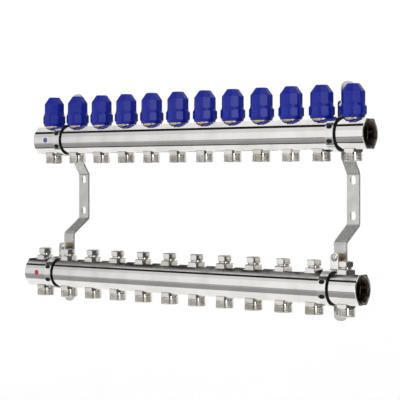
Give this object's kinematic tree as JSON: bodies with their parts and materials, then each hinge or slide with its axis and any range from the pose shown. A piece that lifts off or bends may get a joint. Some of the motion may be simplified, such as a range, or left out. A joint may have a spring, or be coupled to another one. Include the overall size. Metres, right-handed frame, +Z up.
{
  "type": "underfloor heating manifold",
  "caption": "Wall-hung plated manifold bars on offset strip brackets, with blue manual caps above, lockshield valves and threaded outlets below.",
  "frame": {"origin": "on the wall plane, at the middle of the left bracket's two wall slots", "axes": "+X along the bars to the right as seen from the front, +Y into the wall, +Z up"},
  "size_m": [0.602, 0.0905, 0.332],
  "materials": {
    "plated_brass": "nickel plated, polished",
    "bare_brass": "machined",
    "blue_plastic": "moulded, slight sheen",
    "zinc_steel": "bright zinc plated strip",
    "yellow_zinc": "yellow zinc plated steel",
    "black_rubber": "matt",
    "dot_film": "printed film, blue above and red below",
    "stem_steel": "turned stainless steel"
  },
  "bodies": {
    "root": {"return_bar": "plated_brass", "supply_bar": "plated_brass", "outlet_nipples": "plated_brass", "valve_inserts": "bare_brass", "lockshield_bodies": "plated_brass", "left_bracket": "zinc_steel", "right_bracket": "zinc_steel", "clamp_bands": "zinc_steel", "clamp_liners": "black_rubber", "clamp_bolts": "zinc_steel", "clamp_nuts": "yellow_zinc", "colour_dots": "dot_film"},
    "valve_stem_01": {"valve_stem_01": "stem_steel"},
    "manual_cap_01": {"manual_cap_01": "blue_plastic"},
    "balancing_spindle_01": {"balancing_spindle_01": "bare_brass"},
    "lockshield_cap_01": {"lockshield_cap_01": "plated_brass"},
    "valve_stem_02": {"valve_stem_02": "stem_steel"},
    "manual_cap_02": {"manual_cap_02": "blue_plastic"},
    "balancing_spindle_02": {"balancing_spindle_02": "bare_brass"},
    "lockshield_cap_02": {"lockshield_cap_02": "plated_brass"},
    "valve_stem_03": {"valve_stem_03": "stem_steel"},
    "manual_cap_03": {"manual_cap_03": "blue_plastic"},
    "balancing_spindle_03": {"balancing_spindle_03": "bare_brass"},
    "lockshield_cap_03": {"lockshield_cap_03": "plated_brass"},
    "valve_stem_04": {"valve_stem_04": "stem_steel"},
    "manual_cap_04": {"manual_cap_04": "blue_plastic"},
    "balancing_spindle_04": {"balancing_spindle_04": "bare_brass"},
    "lockshield_cap_04": {"lockshield_cap_04": "plated_brass"},
    "valve_stem_05": {"valve_stem_05": "stem_steel"},
    "manual_cap_05": {"manual_cap_05": "blue_plastic"},
    "balancing_spindle_05": {"balancing_spindle_05": "bare_brass"},
    "lockshield_cap_05": {"lockshield_cap_05": "plated_brass"},
    "valve_stem_06": {"valve_stem_06": "stem_steel"},
    "manual_cap_06": {"manual_cap_06": "blue_plastic"},
    "balancing_spindle_06": {"balancing_spindle_06": "bare_brass"},
    "lockshield_cap_06": {"lockshield_cap_06": "plated_brass"},
    "valve_stem_07": {"valve_stem_07": "stem_steel"},
    "manual_cap_07": {"manual_cap_07": "blue_plastic"},
    "balancing_spindle_07": {"balancing_spindle_07": "bare_brass"},
    "lockshield_cap_07": {"lockshield_cap_07": "plated_brass"},
    "valve_stem_08": {"valve_stem_08": "stem_steel"},
    "manual_cap_08": {"manual_cap_08": "blue_plastic"},
    "balancing_spindle_08": {"balancing_spindle_08": "bare_brass"},
    "lockshield_cap_08": {"lockshield_cap_08": "plated_brass"},
    "valve_stem_09": {"valve_stem_09": "stem_steel"},
    "manual_cap_09": {"manual_cap_09": "blue_plastic"},
    "balancing_spindle_09": {"balancing_spindle_09": "bare_brass"},
    "lockshield_cap_09": {"lockshield_cap_09": "plated_brass"},
    "valve_stem_10": {"valve_stem_10": "stem_steel"},
    "manual_cap_10": {"manual_cap_10": "blue_plastic"},
    "balancing_spindle_10": {"balancing_spindle_10": "bare_brass"},
    "lockshield_cap_10": {"lockshield_cap_10": "plated_brass"},
    "valve_stem_11": {"valve_stem_11": "stem_steel"},
    "manual_cap_11": {"manual_cap_11": "blue_plastic"},
    "balancing_spindle_11": {"balancing_spindle_11": "bare_brass"},
    "lockshield_cap_11": {"lockshield_cap_11": "plated_brass"},
    "valve_stem_12": {"valve_stem_12": "stem_steel"},
    "manual_cap_12": {"manual_cap_12": "blue_plastic"},
    "balancing_spindle_12": {"balancing_spindle_12": "bare_brass"},
    "lockshield_cap_12": {"lockshield_cap_12": "plated_brass"}
  },
  "joints": [
    {"name": "manual_cap_01_turn", "type": "hinge", "parent": "valve_stem_01", "child": "manual_cap_01", "pos_m": [-0.025, -0.046, 0.088], "axis": [0, 0, 1], "range_deg": [0, 900]},
    {"name": "manual_cap_02_turn", "type": "hinge", "parent": "valve_stem_02", "child": "manual_cap_02", "pos_m": [0.025, -0.046, 0.088], "axis": [0, 0, 1], "range_deg": [0, 900]},
    {"name": "manual_cap_03_turn", "type": "hinge", "parent": "valve_stem_03", "child": "manual_cap_03", "pos_m": [0.075, -0.046, 0.088], "axis": [0, 0, 1], "range_deg": [0, 900]},
    {"name": "manual_cap_04_turn", "type": "hinge", "parent": "valve_stem_04", "child": "manual_cap_04", "pos_m": [0.125, -0.046, 0.088], "axis": [0, 0, 1], "range_deg": [0, 900]},
    {"name": "manual_cap_05_turn", "type": "hinge", "parent": "valve_stem_05", "child": "manual_cap_05", "pos_m": [0.175, -0.046, 0.088], "axis": [0, 0, 1], "range_deg": [0, 900]},
    {"name": "manual_cap_06_turn", "type": "hinge", "parent": "valve_stem_06", "child": "manual_cap_06", "pos_m": [0.225, -0.046, 0.088], "axis": [0, 0, 1], "range_deg": [0, 900]},
    {"name": "manual_cap_07_turn", "type": "hinge", "parent": "valve_stem_07", "child": "manual_cap_07", "pos_m": [0.275, -0.046, 0.088], "axis": [0, 0, 1], "range_deg": [0, 900]},
    {"name": "manual_cap_08_turn", "type": "hinge", "parent": "valve_stem_08", "child": "manual_cap_08", "pos_m": [0.325, -0.046, 0.088], "axis": [0, 0, 1], "range_deg": [0, 900]},
    {"name": "manual_cap_09_turn", "type": "hinge", "parent": "valve_stem_09", "child": "manual_cap_09", "pos_m": [0.375, -0.046, 0.088], "axis": [0, 0, 1], "range_deg": [0, 900]},
    {"name": "manual_cap_10_turn", "type": "hinge", "parent": "valve_stem_10", "child": "manual_cap_10", "pos_m": [0.425, -0.046, 0.088], "axis": [0, 0, 1], "range_deg": [0, 900]},
    {"name": "manual_cap_11_turn", "type": "hinge", "parent": "valve_stem_11", "child": "manual_cap_11", "pos_m": [0.475, -0.046, 0.088], "axis": [0, 0, 1], "range_deg": [0, 900]},
    {"name": "manual_cap_12_turn", "type": "hinge", "parent": "valve_stem_12", "child": "manual_cap_12", "pos_m": [0.525, -0.046, 0.088], "axis": [0, 0, 1], "range_deg": [0, 900]},
    {"name": "balancing_spindle_01_travel", "type": "slide", "parent": "root", "child": "balancing_spindle_01", "axis": [0, 0, 1], "range_m": [-0.003, 0]},
    {"name": "balancing_spindle_02_travel", "type": "slide", "parent": "root", "child": "balancing_spindle_02", "axis": [0, 0, 1], "range_m": [-0.003, 0]},
    {"name": "balancing_spindle_03_travel", "type": "slide", "parent": "root", "child": "balancing_spindle_03", "axis": [0, 0, 1], "range_m": [-0.003, 0]},
    {"name": "balancing_spindle_04_travel", "type": "slide", "parent": "root", "child": "balancing_spindle_04", "axis": [0, 0, 1], "range_m": [-0.003, 0]},
    {"name": "balancing_spindle_05_travel", "type": "slide", "parent": "root", "child": "balancing_spindle_05", "axis": [0, 0, 1], "range_m": [-0.003, 0]},
    {"name": "balancing_spindle_06_travel", "type": "slide", "parent": "root", "child": "balancing_spindle_06", "axis": [0, 0, 1], "range_m": [-0.003, 0]},
    {"name": "balancing_spindle_07_travel", "type": "slide", "parent": "root", "child": "balancing_spindle_07", "axis": [0, 0, 1], "range_m": [-0.003, 0]},
    {"name": "balancing_spindle_08_travel", "type": "slide", "parent": "root", "child": "balancing_spindle_08", "axis": [0, 0, 1], "range_m": [-0.003, 0]},
    {"name": "balancing_spindle_09_travel", "type": "slide", "parent": "root", "child": "balancing_spindle_09", "axis": [0, 0, 1], "range_m": [-0.003, 0]},
    {"name": "balancing_spindle_10_travel", "type": "slide", "parent": "root", "child": "balancing_spindle_10", "axis": [0, 0, 1], "range_m": [-0.003, 0]},
    {"name": "balancing_spindle_11_travel", "type": "slide", "parent": "root", "child": "balancing_spindle_11", "axis": [0, 0, 1], "range_m": [-0.003, 0]},
    {"name": "balancing_spindle_12_travel", "type": "slide", "parent": "root", "child": "balancing_spindle_12", "axis": [0, 0, 1], "range_m": [-0.003, 0]},
    {"name": "lockshield_cap_01_turn", "type": "hinge", "parent": "root", "child": "lockshield_cap_01", "pos_m": [-0.025, -0.066, -0.122], "axis": [0, 0, 1], "range_deg": [0, 360]},
    {"name": "lockshield_cap_02_turn", "type": "hinge", "parent": "root", "child": "lockshield_cap_02", "pos_m": [0.025, -0.066, -0.122], "axis": [0, 0, 1], "range_deg": [0, 360]},
    {"name": "lockshield_cap_03_turn", "type": "hinge", "parent": "root", "child": "lockshield_cap_03", "pos_m": [0.075, -0.066, -0.122], "axis": [0, 0, 1], "range_deg": [0, 360]},
    {"name": "lockshield_cap_04_turn", "type": "hinge", "parent": "root", "child": "lockshield_cap_04", "pos_m": [0.125, -0.066, -0.122], "axis": [0, 0, 1], "range_deg": [0, 360]},
    {"name": "lockshield_cap_05_turn", "type": "hinge", "parent": "root", "child": "lockshield_cap_05", "pos_m": [0.175, -0.066, -0.122], "axis": [0, 0, 1], "range_deg": [0, 360]},
    {"name": "lockshield_cap_06_turn", "type": "hinge", "parent": "root", "child": "lockshield_cap_06", "pos_m": [0.225, -0.066, -0.122], "axis": [0, 0, 1], "range_deg": [0, 360]},
    {"name": "lockshield_cap_07_turn", "type": "hinge", "parent": "root", "child": "lockshield_cap_07", "pos_m": [0.275, -0.066, -0.122], "axis": [0, 0, 1], "range_deg": [0, 360]},
    {"name": "lockshield_cap_08_turn", "type": "hinge", "parent": "root", "child": "lockshield_cap_08", "pos_m": [0.325, -0.066, -0.122], "axis": [0, 0, 1], "range_deg": [0, 360]},
    {"name": "lockshield_cap_09_turn", "type": "hinge", "parent": "root", "child": "lockshield_cap_09", "pos_m": [0.375, -0.066, -0.122], "axis": [0, 0, 1], "range_deg": [0, 360]},
    {"name": "lockshield_cap_10_turn", "type": "hinge", "parent": "root", "child": "lockshield_cap_10", "pos_m": [0.425, -0.066, -0.122], "axis": [0, 0, 1], "range_deg": [0, 360]},
    {"name": "lockshield_cap_11_turn", "type": "hinge", "parent": "root", "child": "lockshield_cap_11", "pos_m": [0.475, -0.066, -0.122], "axis": [0, 0, 1], "range_deg": [0, 360]},
    {"name": "lockshield_cap_12_turn", "type": "hinge", "parent": "root", "child": "lockshield_cap_12", "pos_m": [0.525, -0.066, -0.122], "axis": [0, 0, 1], "range_deg": [0, 360]},
    {"name": "valve_stem_01_lift", "type": "slide", "parent": "root", "child": "valve_stem_01", "axis": [0, 0, 1], "range_m": [0, 0.00376]},
    {"name": "valve_stem_02_lift", "type": "slide", "parent": "root", "child": "valve_stem_02", "axis": [0, 0, 1], "range_m": [0, 0.00376]},
    {"name": "valve_stem_03_lift", "type": "slide", "parent": "root", "child": "valve_stem_03", "axis": [0, 0, 1], "range_m": [0, 0.00376]},
    {"name": "valve_stem_04_lift", "type": "slide", "parent": "root", "child": "valve_stem_04", "axis": [0, 0, 1], "range_m": [0, 0.00376]},
    {"name": "valve_stem_05_lift", "type": "slide", "parent": "root", "child": "valve_stem_05", "axis": [0, 0, 1], "range_m": [0, 0.00376]},
    {"name": "valve_stem_06_lift", "type": "slide", "parent": "root", "child": "valve_stem_06", "axis": [0, 0, 1], "range_m": [0, 0.00376]},
    {"name": "valve_stem_07_lift", "type": "slide", "parent": "root", "child": "valve_stem_07", "axis": [0, 0, 1], "range_m": [0, 0.00376]},
    {"name": "valve_stem_08_lift", "type": "slide", "parent": "root", "child": "valve_stem_08", "axis": [0, 0, 1], "range_m": [0, 0.00376]},
    {"name": "valve_stem_09_lift", "type": "slide", "parent": "root", "child": "valve_stem_09", "axis": [0, 0, 1], "range_m": [0, 0.00376]},
    {"name": "valve_stem_10_lift", "type": "slide", "parent": "root", "child": "valve_stem_10", "axis": [0, 0, 1], "range_m": [0, 0.00376]},
    {"name": "valve_stem_11_lift", "type": "slide", "parent": "root", "child": "valve_stem_11", "axis": [0, 0, 1], "range_m": [0, 0.00376]},
    {"name": "valve_stem_12_lift", "type": "slide", "parent": "root", "child": "valve_stem_12", "axis": [0, 0, 1], "range_m": [0, 0.00376]}
  ],
  "couplings": [
    {"joint": "valve_stem_01_lift", "follows": "manual_cap_01_turn", "m_per_rad": 0.00023873},
    {"joint": "valve_stem_02_lift", "follows": "manual_cap_02_turn", "m_per_rad": 0.00023873},
    {"joint": "valve_stem_03_lift", "follows": "manual_cap_03_turn", "m_per_rad": 0.00023873},
    {"joint": "valve_stem_04_lift", "follows": "manual_cap_04_turn", "m_per_rad": 0.00023873},
    {"joint": "valve_stem_05_lift", "follows": "manual_cap_05_turn", "m_per_rad": 0.00023873},
    {"joint": "valve_stem_06_lift", "follows": "manual_cap_06_turn", "m_per_rad": 0.00023873},
    {"joint": "valve_stem_07_lift", "follows": "manual_cap_07_turn", "m_per_rad": 0.00023873},
    {"joint": "valve_stem_08_lift", "follows": "manual_cap_08_turn", "m_per_rad": 0.00023873},
    {"joint": "valve_stem_09_lift", "follows": "manual_cap_09_turn", "m_per_rad": 0.00023873},
    {"joint": "valve_stem_10_lift", "follows": "manual_cap_10_turn", "m_per_rad": 0.00023873},
    {"joint": "valve_stem_11_lift", "follows": "manual_cap_11_turn", "m_per_rad": 0.00023873},
    {"joint": "valve_stem_12_lift", "follows": "manual_cap_12_turn", "m_per_rad": 0.00023873}
  ]
}
